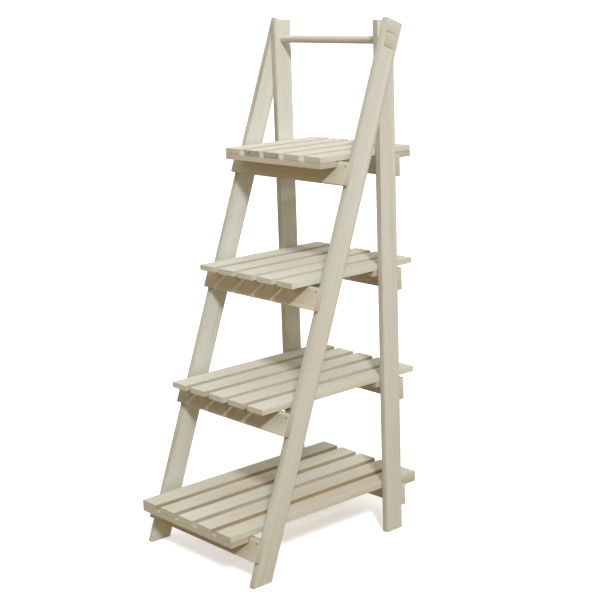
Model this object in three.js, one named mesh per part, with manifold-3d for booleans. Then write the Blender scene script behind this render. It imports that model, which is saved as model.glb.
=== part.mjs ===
// Folding ladder shelf: an upright rear leg frame and a leaning front leg frame cross on a round dowel,
// and four loose slatted shelves rest on the rails of both frames.
// Millimetres. X runs across the shelf, Y from front to back and Z up. The origin is on the floor, in the
// middle of the footprint box.
import * as THREE from "three";
import { mergeVertices } from "three/addons/utils/BufferGeometryUtils.js";
import Module from "manifold-3d";

// ---- Driving dimensions ----------------------------------------------------------------------------
// Leg frames
const FRAME_WIDTH = 350; // over the outer faces of the front legs
const PIVOT_HEIGHT = 1035; // dowel axis above the floor
const SPREAD_DEG = 20.3; // angle between the leaning front legs and the upright rear legs
const LEG_WIDTH = 44.5;
const LEG_THICKNESS = 13;
const LEG_HEAD = 40; // leg above the dowel axis, measured along the leg
const RAIL_HEIGHT = 46.5;
const RAIL_THICKNESS = 12;

// Pivot
const DOWEL_DIAMETER = 16;
const DOWEL_SEAT = 9; // depth of the dowel's blind bore in each pivot block
const BLOCK_SIZE = 29; // square pivot block let into each front leg

// Shelves
const SHELF_COUNT = 4;
const TOP_SHELF_DROP = 216.4; // top shelf's surface below the dowel axis
const BOTTOM_SHELF_HEIGHT = 108.5; // bottom shelf's surface above the floor
const SLAT_COUNT = 5;
const SLAT_WIDTH = 46.2;
const SLAT_THICKNESS = 11.5;
const BATTEN_WIDTH = 45.5;
const BATTEN_THICKNESS = 11.5;
const PLAIN_OVERHANG = 45.5; // slat past the rails on the middle shelves
const INNER_BATTEN_SETBACK = 21; // middle shelves: front batten behind the front rail
const INNER_BATTEN_GAP = 10; // middle shelves: rear batten in front of the rear rail

// Nails that hold the rails on the legs
const NAIL_LENGTH = 34;
const NAIL_SHANK_DIAMETER = 1.8;
const NAIL_HEAD_DIAMETER = 3.4;
const NAIL_HEAD_THICKNESS = 1.1;
const NAIL_POINT_LENGTH = 3;
const NAIL_DROP = 10; // nail below the rail's top edge

// Clearances
const SEAT_GAP = 0.3; // between faces that rest on each other
const PIVOT_GAP = 0.5; // between a front leg and the rear leg beside it
const BORE_CLEARANCE = 0.4; // around the dowel in a rear leg's bore
const SHELF_SIDE_CLEARANCE = 2.25; // between a shelf and the rear legs
const HOOK_CLEARANCE = 0.6; // between an outer batten and the rail that it hooks over
const NAIL_CLEARANCE = 0.25; // around a nail in its hole

// Facets
const DOWEL_SEGMENTS = 40;
const NAIL_SEGMENTS = 10;

// ---- Derived sizes ---------------------------------------------------------------------------------
const spread = THREE.MathUtils.degToRad(SPREAD_DEG);
const halfLeg = LEG_WIDTH / 2;
const railBack = halfLeg + SEAT_GAP; // rail's inner face, from the leg's centre line
const railFace = railBack + RAIL_THICKNESS; // rail's outer face, from the leg's centre line

const frontLegOuter = FRAME_WIDTH / 2;
const frontLegInner = frontLegOuter - LEG_THICKNESS;
const rearLegOuter = frontLegInner - PIVOT_GAP;
const rearLegInner = rearLegOuter - LEG_THICKNESS;

const shelfWidth = 2 * (rearLegInner - SHELF_SIDE_CLEARANCE);
const slatPitch = (shelfWidth - SLAT_WIDTH) / (SLAT_COUNT - 1);
const shelfSpacing = (PIVOT_HEIGHT - TOP_SHELF_DROP - BOTTOM_SHELF_HEIGHT) / (SHELF_COUNT - 1);

// A point of the front frame, given along the leg (up from the dowel axis) and across it (to the rear).
const frontY = (along, across) => along * Math.sin(spread) + across * Math.cos(spread);
const frontAlong = (height, across) => (height + across * Math.sin(spread)) / Math.cos(spread);

// Everything that depends on one shelf's place. Heights are from the dowel axis and depths from it too.
function shelfPlan(index) {
  const number = index + 1;
  const surface = -TOP_SHELF_DROP - index * shelfSpacing;
  const underside = surface - SLAT_THICKNESS;
  const railTop = underside - SEAT_GAP;
  const hooked = index === 0 || index === SHELF_COUNT - 1;
  const battenTop = underside - SEAT_GAP;
  const battenBottom = battenTop - BATTEN_THICKNESS;

  // The front rail's highest edge is its front one, and its face slopes forward below that edge.
  const frontRailAlong = frontAlong(railTop, -railFace);
  const frontRailEdge = frontY(frontRailAlong, -railFace);
  const frontRailInner = frontY(frontRailAlong, -railBack);
  const frontRailFaceAtBatten = frontRailEdge - (railTop - battenBottom) * Math.tan(spread);

  const frontEnd = hooked
    ? frontRailFaceAtBatten - HOOK_CLEARANCE - BATTEN_WIDTH
    : frontRailEdge - PLAIN_OVERHANG;
  const rearEnd = hooked ? railFace + HOOK_CLEARANCE + BATTEN_WIDTH : railFace + PLAIN_OVERHANG;
  const frontBatten = hooked ? frontEnd : frontRailInner + INNER_BATTEN_SETBACK;
  const rearBatten = hooked ? rearEnd - BATTEN_WIDTH : railBack - INNER_BATTEN_GAP - BATTEN_WIDTH;
  return {
    number,
    surface,
    underside,
    railTop,
    battenTop,
    frontRailAlong,
    frontEnd,
    rearEnd,
    frontBatten,
    rearBatten,
  };
}

const shelfPlans = Array.from({ length: SHELF_COUNT }, (_, index) => shelfPlan(index));
const footprintFront = Math.min(...shelfPlans.map((plan) => plan.frontEnd));
const footprintRear = Math.max(...shelfPlans.map((plan) => plan.rearEnd));
const pivotY = -(footprintFront + footprintRear) / 2;

// ---- Materials: bare softwood, each kind of board a little different -------------------------------
const softwood = (color) => new THREE.MeshStandardMaterial({ color, roughness: 0.72, metalness: 0 });
const materials = {
  leg: softwood(0xd3cab0),
  rail: softwood(0xcdbf9c),
  slat: softwood(0xdad2bd),
  batten: softwood(0xc9bc9a),
  dowel: softwood(0xdccfae),
  block: softwood(0xcbb98f),
  nail: new THREE.MeshStandardMaterial({ color: 0x6d6a63, roughness: 0.45, metalness: 0.9 }),
};

// ---- Solids ----------------------------------------------------------------------------------------
const wasm = await Module();
wasm.setup();

function solidOf(geometry) {
  const bare = geometry.clone();
  bare.deleteAttribute("normal");
  bare.deleteAttribute("uv");
  const merged = mergeVertices(bare, 1e-4);
  return new wasm.Manifold(
    new wasm.Mesh({
      numProp: 3,
      vertProperties: new Float32Array(merged.attributes.position.array),
      triVerts: new Uint32Array(merged.index.array),
    }),
  );
}

function geometryOf(solid) {
  const mesh = solid.getMesh();
  const geometry = new THREE.BufferGeometry();
  geometry.setAttribute("position", new THREE.BufferAttribute(mesh.vertProperties, 3));
  geometry.setIndex(new THREE.BufferAttribute(mesh.triVerts, 1));
  geometry.computeVertexNormals();
  return geometry;
}

function cutAway(geometry, tools) {
  const solid = tools.reduce((body, tool) => body.subtract(solidOf(tool)), solidOf(geometry));
  return geometryOf(solid);
}

// A box given by its low and high corners.
function boxBetween(low, high) {
  const size = new THREE.Vector3().subVectors(high, low);
  const middle = new THREE.Vector3().addVectors(low, high).multiplyScalar(0.5);
  return new THREE.BoxGeometry(size.x, size.y, size.z).translate(middle.x, middle.y, middle.z);
}

// A board cut from an outline in the YZ plane and thick along X, from xLow upwards.
function boardFromOutline(outline, xLow, thickness) {
  const geometry = new THREE.ExtrudeGeometry(outline, {
    depth: thickness,
    bevelEnabled: false,
    curveSegments: DOWEL_SEGMENTS / 2,
  });
  const outlineToYZ = new THREE.Matrix4().makeBasis(
    new THREE.Vector3(0, 1, 0),
    new THREE.Vector3(0, 0, 1),
    new THREE.Vector3(1, 0, 0),
  );
  return geometry.applyMatrix4(outlineToYZ).translate(xLow, 0, 0);
}

function roundHole(radius) {
  return new THREE.Path().absarc(0, 0, radius, 0, 2 * Math.PI, true);
}

function squareHole(side) {
  const half = side / 2;
  return new THREE.Path([
    new THREE.Vector2(-half, -half),
    new THREE.Vector2(-half, half),
    new THREE.Vector2(half, half),
    new THREE.Vector2(half, -half),
  ]);
}

// A leg's outline about the dowel axis: square-cut head, and a foot cut level with the floor.
function legOutline(lean, hole) {
  const footAt = (across) => (-PIVOT_HEIGHT + across * Math.sin(lean)) / Math.cos(lean);
  const outline = new THREE.Shape([
    new THREE.Vector2(-halfLeg, footAt(-halfLeg)),
    new THREE.Vector2(halfLeg, footAt(halfLeg)),
    new THREE.Vector2(halfLeg, LEG_HEAD),
    new THREE.Vector2(-halfLeg, LEG_HEAD),
  ]);
  outline.holes.push(hole);
  return outline;
}

// A nail's profile grown by a clearance: radius and depth, from the tip to the head's face at depth 0.
function nailProfile(grown, headTop) {
  const shank = NAIL_SHANK_DIAMETER / 2 + grown;
  const head = NAIL_HEAD_DIAMETER / 2 + grown;
  const tip = NAIL_LENGTH + grown;
  return [
    new THREE.Vector2(0, -tip),
    new THREE.Vector2(shank, -tip + NAIL_POINT_LENGTH),
    new THREE.Vector2(shank, -NAIL_HEAD_THICKNESS - grown),
    new THREE.Vector2(head, -NAIL_HEAD_THICKNESS - grown),
    new THREE.Vector2(head, headTop),
    new THREE.Vector2(0, headTop),
  ];
}

// A nail, or its hole, lying along Y with its head's face at the given place.
// Side is -1 where it is driven from the front and +1 where it is driven from the rear.
function nailSolid(x, y, z, side, grown = 0, headTop = 0) {
  const geometry = new THREE.LatheGeometry(nailProfile(grown, headTop), NAIL_SEGMENTS);
  if (side < 0) geometry.rotateX(Math.PI);
  return geometry.translate(x, y, z);
}

// ---- Assembly --------------------------------------------------------------------------------------
const SIDES = [
  { name: "left", sign: -1 },
  { name: "right", sign: 1 },
];

function addPiece(group, name, geometry, material) {
  const mesh = new THREE.Mesh(geometry, material);
  mesh.name = name;
  group.add(mesh);
}

// Where the nails of one frame go: one at each end of each rail, in the middle of the leg's thickness.
function nailPlaces(railTops, legMiddle, side) {
  return railTops.flatMap((top, index) =>
    SIDES.map(({ name, sign }) => ({
      number: index + 1,
      end: name,
      sign,
      at: [sign * legMiddle, side * railFace, top - NAIL_DROP, side],
    })),
  );
}

const nailHole = (place) => nailSolid(...place.at, NAIL_CLEARANCE, 1);

// One leg frame about the dowel axis: two legs, a rail for each shelf and the nails between them.
// Side is -1 for the front frame, whose rails are on its front edges, and +1 for the rear frame.
function buildLegFrame(prefix, side, lean, legInner, railHalfLength, hole, railTops) {
  const frame = new THREE.Group();
  const places = nailPlaces(railTops, legInner + LEG_THICKNESS / 2, side);
  for (const { name, sign } of SIDES) {
    const xLow = sign > 0 ? legInner : -legInner - LEG_THICKNESS;
    const board = boardFromOutline(legOutline(lean, hole), xLow, LEG_THICKNESS);
    const holes = places.filter((place) => place.sign === sign).map(nailHole);
    addPiece(frame, `${prefix}_leg_${name}`, cutAway(board, holes), materials.leg);
  }
  railTops.forEach((top, index) => {
    const faces = [side * railBack, side * railFace].sort((a, b) => a - b);
    const rail = boxBetween(
      new THREE.Vector3(-railHalfLength, faces[0], top - RAIL_HEIGHT),
      new THREE.Vector3(railHalfLength, faces[1], top),
    );
    const own = places.filter((place) => place.number === index + 1);
    const name = `${prefix}_rail_${index + 1}`;
    addPiece(frame, name, cutAway(rail, own.map(nailHole)), materials.rail);
    own.forEach((place) => {
      addPiece(frame, `${name}_nail_${place.end}`, nailSolid(...place.at), materials.nail);
    });
  });
  return frame;
}

// The square blocks of the front legs and the dowel that sits in them.
function addPivot(frame) {
  const half = BLOCK_SIZE / 2;
  const dowelLength = 2 * (frontLegInner + DOWEL_SEAT - SEAT_GAP);
  const dowel = (radius, length) =>
    new THREE.CylinderGeometry(radius, radius, length, DOWEL_SEGMENTS).rotateZ(Math.PI / 2);
  const bore = dowel(DOWEL_DIAMETER / 2 + SEAT_GAP, 2 * (frontLegInner + DOWEL_SEAT));
  for (const { name, sign } of SIDES) {
    const ends = [sign * frontLegInner, sign * frontLegOuter].sort((a, b) => a - b);
    const block = boxBetween(
      new THREE.Vector3(ends[0], -half, -half),
      new THREE.Vector3(ends[1], half, half),
    );
    addPiece(frame, `pivot_block_${name}`, cutAway(block, [bore]), materials.block);
  }
  addPiece(frame, "top_dowel", dowel(DOWEL_DIAMETER / 2, dowelLength), materials.dowel);
}

// One shelf: slats that run from front to back, on two battens that run across.
function buildShelf(plan) {
  const shelf = new THREE.Group();
  const name = `shelf_${plan.number}`;
  const halfWidth = shelfWidth / 2;
  for (let slat = 0; slat < SLAT_COUNT; slat += 1) {
    const xLow = -halfWidth + slat * slatPitch;
    const board = boxBetween(
      new THREE.Vector3(xLow, plan.frontEnd, plan.underside),
      new THREE.Vector3(xLow + SLAT_WIDTH, plan.rearEnd, plan.surface),
    );
    addPiece(shelf, `${name}_slat_${slat + 1}`, board, materials.slat);
  }
  for (const [end, yLow] of [["front", plan.frontBatten], ["rear", plan.rearBatten]]) {
    const batten = boxBetween(
      new THREE.Vector3(-halfWidth, yLow, plan.battenTop - BATTEN_THICKNESS),
      new THREE.Vector3(halfWidth, yLow + BATTEN_WIDTH, plan.battenTop),
    );
    addPiece(shelf, `${name}_batten_${end}`, batten, materials.batten);
  }
  return shelf;
}

const frontFrame = buildLegFrame(
  "front",
  -1,
  spread,
  frontLegInner,
  frontLegOuter,
  squareHole(BLOCK_SIZE + 2 * SEAT_GAP),
  shelfPlans.map((plan) => plan.frontRailAlong),
);
addPivot(frontFrame);
frontFrame.rotation.x = -spread;

const rearFrame = buildLegFrame(
  "rear",
  1,
  0,
  rearLegInner,
  rearLegOuter,
  roundHole(DOWEL_DIAMETER / 2 + BORE_CLEARANCE),
  shelfPlans.map((plan) => plan.railTop),
);

const ladderShelf = new THREE.Group();
ladderShelf.add(frontFrame, rearFrame, ...shelfPlans.map(buildShelf));
ladderShelf.position.set(0, pivotY, PIVOT_HEIGHT);

export default ladderShelf;
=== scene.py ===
"""Folding ladder shelf in pale, lightly whitewashed softwood.

Two leg frames meet at a round top bar. Each carries four rails, and four slatted shelves rest on
the rails and hook over them with their battens.
"""

import logging
import math
import random
from dataclasses import dataclass, field
from enum import Enum
from typing import Any, Mapping, Sequence

import bmesh
import bpy
from mathutils import Matrix, Vector


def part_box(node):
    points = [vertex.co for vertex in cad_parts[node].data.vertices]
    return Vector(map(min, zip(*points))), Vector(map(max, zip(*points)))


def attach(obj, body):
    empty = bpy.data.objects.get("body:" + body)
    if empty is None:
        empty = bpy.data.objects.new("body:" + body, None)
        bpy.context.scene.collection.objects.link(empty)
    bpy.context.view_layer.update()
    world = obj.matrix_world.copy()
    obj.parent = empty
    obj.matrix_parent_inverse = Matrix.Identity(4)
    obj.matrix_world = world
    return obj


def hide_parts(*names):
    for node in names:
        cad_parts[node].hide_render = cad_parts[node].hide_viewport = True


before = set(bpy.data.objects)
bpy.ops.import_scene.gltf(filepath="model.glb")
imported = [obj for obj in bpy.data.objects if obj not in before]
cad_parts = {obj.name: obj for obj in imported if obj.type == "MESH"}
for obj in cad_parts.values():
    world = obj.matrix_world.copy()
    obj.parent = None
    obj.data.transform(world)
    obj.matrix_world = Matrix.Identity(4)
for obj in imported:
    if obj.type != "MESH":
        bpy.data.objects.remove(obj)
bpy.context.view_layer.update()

LOG = logging.getLogger("ladder_shelf")
MM = 0.001

# How far from the pith, and how far along the trunk, the boards were sawn.
PITH_REACH = (45.0 * MM, 120.0 * MM)
TRUNK_REACH = (2.0, 60.0)

# The part of a face's normal along an axis, past which the face looks that way.
LOOKS_ALONG = 0.7

Colour = tuple[float, float, float]


# ---------------------------------------------------------------- node trees


class Signal:
    """One output socket, with arithmetic that adds Math nodes to its tree."""

    def __init__(self, bench: "Bench", socket: bpy.types.NodeSocket) -> None:
        """Wraps one output socket.

        Args:
            bench: The bench of the tree that the socket is in.
            socket: The output socket.
        """
        self.bench = bench
        self.socket = socket

    def __add__(self, other: "Value") -> "Signal":
        """Sum."""
        return self.bench.maths("ADD", self, other)

    def __radd__(self, other: "Value") -> "Signal":
        """Sum with a number on the left."""
        return self.bench.maths("ADD", other, self)

    def __sub__(self, other: "Value") -> "Signal":
        """Difference."""
        return self.bench.maths("SUBTRACT", self, other)

    def __rsub__(self, other: "Value") -> "Signal":
        """Difference with a number on the left."""
        return self.bench.maths("SUBTRACT", other, self)

    def __mul__(self, other: "Value") -> "Signal":
        """Product."""
        return self.bench.maths("MULTIPLY", self, other)

    def __rmul__(self, other: "Value") -> "Signal":
        """Product with a number on the left."""
        return self.bench.maths("MULTIPLY", other, self)

    def __truediv__(self, other: "Value") -> "Signal":
        """Quotient."""
        return self.bench.maths("DIVIDE", self, other)

    def __abs__(self) -> "Signal":
        """Size without its sign."""
        return self.bench.maths("ABSOLUTE", self)


Value = Signal | float | int | bool | Sequence[float] | bpy.types.Material


class Bench:
    """Adds nodes to one shader tree or one geometry tree."""

    def __init__(self, tree: bpy.types.NodeTree) -> None:
        """Takes the tree to work on.

        Args:
            tree: A shader or geometry node tree.
        """
        self.tree = tree

    def plug(self, socket: bpy.types.NodeSocket, value: Value) -> None:
        """Links a signal to an input socket, or sets the socket's own value.

        Args:
            socket: The input socket.
            value: A signal to link, or a number, vector, colour or material to set.
        """
        if isinstance(value, Signal):
            self.tree.links.new(value.socket, socket)
        elif socket.type == "RGBA" and len(value) == 3:
            socket.default_value = (*value, 1.0)
        else:
            socket.default_value = value

    def node(
        self,
        kind: str,
        settings: Mapping[str, Any] | None = None,
        sockets: Mapping[str | int, Value] | None = None,
    ) -> bpy.types.Node:
        """Adds one node.

        Args:
            kind: The node's type.
            settings: The node's own settings, set before its sockets.
            sockets: Values or links, by the socket's name or number.

        Returns:
            The new node.
        """
        made = self.tree.nodes.new(kind)
        for name, setting in (settings or {}).items():
            setattr(made, name, setting)
        for key, value in (sockets or {}).items():
            self.plug(made.inputs[key], value)
        return made

    def signal(
        self,
        kind: str,
        settings: Mapping[str, Any] | None = None,
        sockets: Mapping[str | int, Value] | None = None,
        output: str | int = 0,
    ) -> Signal:
        """Adds one node and gives one of its outputs.

        Args:
            kind: The node's type.
            settings: The node's own settings.
            sockets: Values or links, by the socket's name or number.
            output: The name or number of the output.

        Returns:
            The output as a signal.
        """
        return Signal(self, self.node(kind, settings, sockets).outputs[output])

    def maths(self, operation: str, *values: Value, clamp: bool = False) -> Signal:
        """Adds a Math node.

        Args:
            operation: The node's operation.
            values: Its inputs in order.
            clamp: Whether the result is kept within 0 and 1.

        Returns:
            The result.
        """
        settings = {"operation": operation, "use_clamp": clamp}
        return self.signal("ShaderNodeMath", settings, dict(enumerate(values)))

    def vector(self, operation: str, *values: Value, output: str | int = 0) -> Signal:
        """Adds a Vector Math node.

        Args:
            operation: The node's operation.
            values: Its inputs in order.
            output: The output to give.

        Returns:
            The result.
        """
        return self.signal(
            "ShaderNodeVectorMath", {"operation": operation}, dict(enumerate(values)), output
        )

    def combine(self, x: Value, y: Value, z: Value) -> Signal:
        """Makes a vector of three values."""
        return self.signal("ShaderNodeCombineXYZ", None, {"X": x, "Y": y, "Z": z})

    def split(self, vector: Signal) -> tuple[Signal, Signal, Signal]:
        """Takes a vector apart.

        Args:
            vector: The vector.

        Returns:
            Its three parts.
        """
        made = self.node("ShaderNodeSeparateXYZ", None, {0: vector})
        x, y, z = (Signal(self, output) for output in made.outputs)
        return x, y, z

    def ease(self, value: Value, low: float, high: float) -> Signal:
        """Rises smoothly from 0 at one value to 1 at another.

        Args:
            value: What is measured.
            low: The value at which the result is 0.
            high: The value at which the result is 1.

        Returns:
            The eased value.
        """
        settings = {"interpolation_type": "SMOOTHSTEP"}
        if low > high:
            return 1.0 - self.ease(value, high, low)
        return self.signal("ShaderNodeMapRange", settings, {0: value, 1: low, 2: high})

    def mix(self, factor: Value, first: Value, second: Value, blend: str = "MIX") -> Signal:
        """Mixes two colours.

        Args:
            factor: How much of the second colour shows.
            first: The colour underneath.
            second: The colour on top.
            blend: The blend type.

        Returns:
            The mixed colour.
        """
        settings = {"data_type": "RGBA", "blend_type": blend, "clamp_factor": True}
        return self.signal("ShaderNodeMix", settings, {0: factor, 6: first, 7: second}, 2)

    def noise(
        self, vector: Signal, stretch: Sequence[float], detail: float = 2.0, rough: float = 0.5
    ) -> Signal:
        """Adds a noise that is stretched along its axes.

        Args:
            vector: Where it is read.
            stretch: Its frequency along each axis.
            detail: How many finer layers it has.
            rough: How strong the finer layers are.

        Returns:
            A value about 0, from roughly -0.5 to 0.5.
        """
        stretched = self.vector("MULTIPLY", vector, stretch)
        sockets = {"Vector": stretched, "Scale": 1.0, "Detail": detail, "Roughness": rough}
        return self.signal("ShaderNodeTexNoise", {"noise_dimensions": "3D"}, sockets) - 0.5

    def attribute(self, name: "Mark", number: bool = False) -> Signal:
        """Reads one of the marks that each board carries.

        Args:
            name: Which mark.
            number: Whether it is a single number and not a vector.

        Returns:
            The mark's value.
        """
        settings = {"attribute_type": "GEOMETRY", "attribute_name": name.value}
        return self.signal("ShaderNodeAttribute", settings, None, 2 if number else 1)


# ---------------------------------------------------------------- marks and slots


class Mark(Enum):
    """What each board's mesh says about the board, for its finish to read."""

    PLACE = "board_place"
    HALF = "board_half"
    SHIFT = "board_shift"
    TONE = "board_tone"
    END = "board_end"
    STAIN = "board_stain"
    BARE_AND_GAP_SHADE = "board_bare_and_gap_shade"
    RANK = "board_rank"


class Slot(Enum):
    """The finish slots of the shelf."""

    LEG = "leg_wood"
    RAIL = "rail_wood"
    SLAT = "slat_wood"
    BATTEN = "batten_wood"
    BLOCK = "block_wood"
    DOWEL = "dowel_wood"
    STEEL = "nail_steel"


# ---------------------------------------------------------------- finishes


@dataclass(frozen=True)
class WashedSoftwood:
    """Planed softwood under a thin white wash.

    Growth rings run round a pith beside each board, so a face shows long lines, a cut end shows
    arcs, and both agree. The wash dulls them, and edges that are handled lose some of it.
    """

    name: str
    early: Colour = (0.685, 0.658, 0.560)
    late: Colour = (0.530, 0.460, 0.330)
    blush: Colour = (0.690, 0.590, 0.515)
    cool: Colour = (0.610, 0.620, 0.540)
    resin: Colour = (0.430, 0.310, 0.180)
    knot: Colour = (0.230, 0.140, 0.080)
    wash: Colour = (0.730, 0.740, 0.705)
    bare_edge: Colour = (0.500, 0.425, 0.305)
    bare_side_and_gap_shade: Colour = (0.400, 0.300, 0.185)
    cut_end_and_shade: Colour = (0.860, 0.840, 0.800)
    sawn_side_and_shade: Colour = (0.900, 0.885, 0.840)
    side_bare: float = 0.35
    depth: Colour = (1.0, 1.0, 1.0)
    bark: Colour = (0.150, 0.140, 0.125)
    ring_pitch: float = 4.2 * MM
    ring_strength: float = 0.36
    streak_strength: float = 0.38
    wash_cover: float = 0.50
    edge_wear: float = 0.34
    saw_marks: float = 0.35
    roughness: float = 0.60
    relief: float = 0.55
    relief_depth: float = 0.35 * MM
    knot_share: float = 0.10

    def material(self) -> bpy.types.Material:
        """Builds the material.

        Returns:
            The finished material.
        """
        made = bpy.data.materials.new(self.name)
        made.use_nodes = True
        made.node_tree.nodes.clear()
        bench = Bench(made.node_tree)
        place = bench.attribute(Mark.PLACE)
        grain = bench.vector("ADD", place, bench.attribute(Mark.SHIFT))
        end = bench.attribute(Mark.END, number=True)
        tone = bench.attribute(Mark.TONE, number=True)
        inset = bench.vector(
            "SUBTRACT", bench.attribute(Mark.HALF), bench.vector("ABSOLUTE", place)
        )
        side = bench.ease(bench.split(inset)[1], 0.8 * MM, 0.1 * MM)
        knot, swirl = self._knots(bench, grain)
        late = self._rings(bench, grain, swirl)
        fibre = bench.noise(grain, (26.0, 780.0, 780.0), 3.0, 0.62)
        streak = bench.noise(grain, (2.6, 125.0, 125.0), 3.0, 0.60)
        cloud = bench.noise(grain, (3.6, 17.0, 17.0), 2.0)
        resin = bench.ease(bench.noise(grain, (1.5, 230.0, 230.0), 1.0), 0.17, 0.27)

        colour = bench.mix(late * self.ring_strength, self.early, self.late)
        colour = bench.mix(bench.ease(cloud, -0.02, 0.24) * 0.75, colour, self.blush)
        colour = bench.mix(bench.ease(cloud, -0.06, -0.26) * 0.60, colour, self.cool)
        colour = bench.mix(
            bench.ease(streak, 0.0, 0.34) * self.streak_strength, colour, self.late
        )
        colour = bench.mix(resin * 0.34, colour, self.resin)
        cover = bench.maths(
            "ADD", self.wash_cover, (cloud * -0.9) + (streak * -1.1) + (fibre * -0.9), clamp=True
        )
        colour = bench.mix(cover, colour, self.wash)
        colour = bench.mix(bench.ease(fibre, 0.06, 0.32) * 0.30, colour, self.late)
        colour = bench.mix(knot * 0.80, colour, self.knot)
        thin = side * bench.ease(cloud + streak * 0.7, -0.04, 0.20) * self.side_bare
        # Sides that face a gap are drawn darker: unwashed wood together with painted shade in the
        # gaps.
        bare_and_gap_shade = bench.maths("MAXIMUM", bench.attribute(Mark.BARE_AND_GAP_SHADE, number=True), thin)
        patchy = bench.maths("ADD", 0.76 + streak * 0.6, cloud * 1.5, clamp=True)
        colour = bench.mix(bare_and_gap_shade * patchy, colour, self.bare_side_and_gap_shade)
        worn = self._edges(bench, inset, fibre)
        colour = bench.mix(worn * self.edge_wear, colour, self.bare_edge)
        # The narrow faces, the cut ends and the whole board take their slot's tints. Where a slot sets
        # these dark for faces that look to the front, they hold painted shade.
        colour = bench.mix(side, colour, self.sawn_side_and_shade, "MULTIPLY")
        colour = bench.mix(end, colour, self.cut_end_and_shade, "MULTIPLY")
        colour = bench.mix(1.0, colour, self.depth, "MULTIPLY")
        colour = bench.mix(end * late * 0.30, colour, self.late)
        stain = self._stain(bench, place, grain)
        colour = bench.mix(stain, colour, self.bark)
        # Darker tones are drawn richer. Where a tone stands for shade, on the lower shelves and the
        # lower front rails, both the darkening and the richness are painted shade.
        richness_from_tone_and_shade = bench.maths("MINIMUM", 1.0 + (0.5 - tone) * 0.30, 1.25)
        sockets = {"Hue": 0.5, "Saturation": richness_from_tone_and_shade, "Value": 0.94 + tone * 0.12}
        colour = bench.signal("ShaderNodeHueSaturation", None, {**sockets, "Color": colour})

        saw = bench.noise(grain, (620.0, 12.0, 30.0), 1.0) * side * self.saw_marks
        height = fibre * 0.85 + late * 0.35 + saw - knot * 0.4 + end * fibre * 1.1 - stain * 0.5
        sockets = {"Strength": self.relief, "Distance": self.relief_depth, "Height": height}
        normal = bench.signal("ShaderNodeBump", None, sockets)
        rough = self.roughness + fibre * 0.22 + end * 0.14 - late * 0.05 + stain * 0.15
        shader = bench.node(
            "ShaderNodeBsdfPrincipled",
            None,
            {"Base Color": colour, "Roughness": rough, "Specular IOR Level": 0.32, "Normal": normal},
        )
        bench.node("ShaderNodeOutputMaterial", None, {"Surface": Signal(bench, shader.outputs[0])})
        return made

    def _knots(self, bench: Bench, grain: Signal) -> tuple[Signal, Signal]:
        """Places a few pin knots, and the swirl of the grain round them.

        Args:
            bench: The bench of the material.
            grain: Where in the tree each point was.

        Returns:
            The knot's own mask, and the swirl from 0 to 1.
        """
        cells = bench.vector("MULTIPLY", grain, (6.5, 19.0, 0.0))
        sockets = {"Vector": cells, "Scale": 1.0}
        made = bench.node("ShaderNodeTexVoronoi", {"feature": "F1"}, sockets)
        away = Signal(bench, made.outputs["Distance"])
        lot = bench.split(Signal(bench, made.outputs["Color"]))[0]
        chosen = bench.maths("GREATER_THAN", lot, 1.0 - self.knot_share)
        ragged = away + bench.noise(grain, (300.0, 300.0, 300.0), 1.0) * 0.03
        return bench.ease(ragged, 0.050, 0.022) * chosen, bench.ease(away, 0.26, 0.0) * chosen

    def _rings(self, bench: Bench, grain: Signal, swirl: Signal) -> Signal:
        """Draws the growth rings, pale early wood that darkens to a crisp late line.

        Args:
            bench: The bench of the material.
            grain: Where in the tree each point was.
            swirl: How far a knot pushes the rings out.

        Returns:
            The late wood, from 0 to 1.
        """
        wander = bench.vector("MULTIPLY", grain, (2.4, 9.0, 9.0))
        sockets = {"Vector": wander, "Scale": 1.0, "Detail": 2.0}
        drift = bench.signal("ShaderNodeTexNoise", {"noise_dimensions": "3D"}, sockets, 1)
        drift = bench.vector("SUBTRACT", drift, (0.5, 0.5, 0.5))
        drift = bench.vector("MULTIPLY", drift, (0.0, 24.0 * MM, 24.0 * MM))
        _, across, through = bench.split(bench.vector("ADD", grain, drift))
        flat = bench.combine(0.0, across, through)
        radius = bench.vector("LENGTH", flat, output=1) + swirl * (3.0 * MM)
        uneven = bench.noise(flat, (1.0, 60.0, 60.0), 1.0) * 0.9
        turn = bench.maths("FRACT", radius / self.ring_pitch + uneven)
        return bench.ease(turn, 0.30, 0.90) * bench.ease(turn, 1.0, 0.93)

    def _edges(self, bench: Bench, inset: Signal, fibre: Signal) -> Signal:
        """Finds the handled edges.

        Args:
            bench: The bench of the material.
            inset: How far each point is from the planes of its board's faces.
            fibre: The fine grain, which breaks the edge of the wear.

        Returns:
            The wear, from 0 to 1.
        """
        along, across, through = bench.split(inset)
        near = bench.maths("MINIMUM", across + through, along + through)
        near = bench.maths("MINIMUM", near, along + across)
        patchy = bench.noise(inset, (55.0, 55.0, 55.0), 2.0)
        return bench.ease(near + (patchy * 2.2 + fibre) * MM, 1.3 * MM, 0.0)

    def _stain(self, bench: Bench, place: Signal, grain: Signal) -> Signal:
        """Makes bark and mould marks at the front end of the boards that carry them.

        Args:
            bench: The bench of the material.
            place: Where on its board each point is.
            grain: Where in the tree each point was.

        Returns:
            The stain, from 0 to 1.
        """
        reach = bench.split(bench.vector("ADD", place, bench.attribute(Mark.HALF)))[0]
        spots = bench.noise(grain, (170.0, 150.0, 260.0), 4.0, 0.7)
        near = bench.ease(reach + spots * (10.0 * MM), 5.0 * MM, 0.0)
        marked = bench.attribute(Mark.STAIN, number=True)
        return marked * near * (0.22 + bench.ease(spots, -0.03, 0.12) * 0.70)


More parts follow.
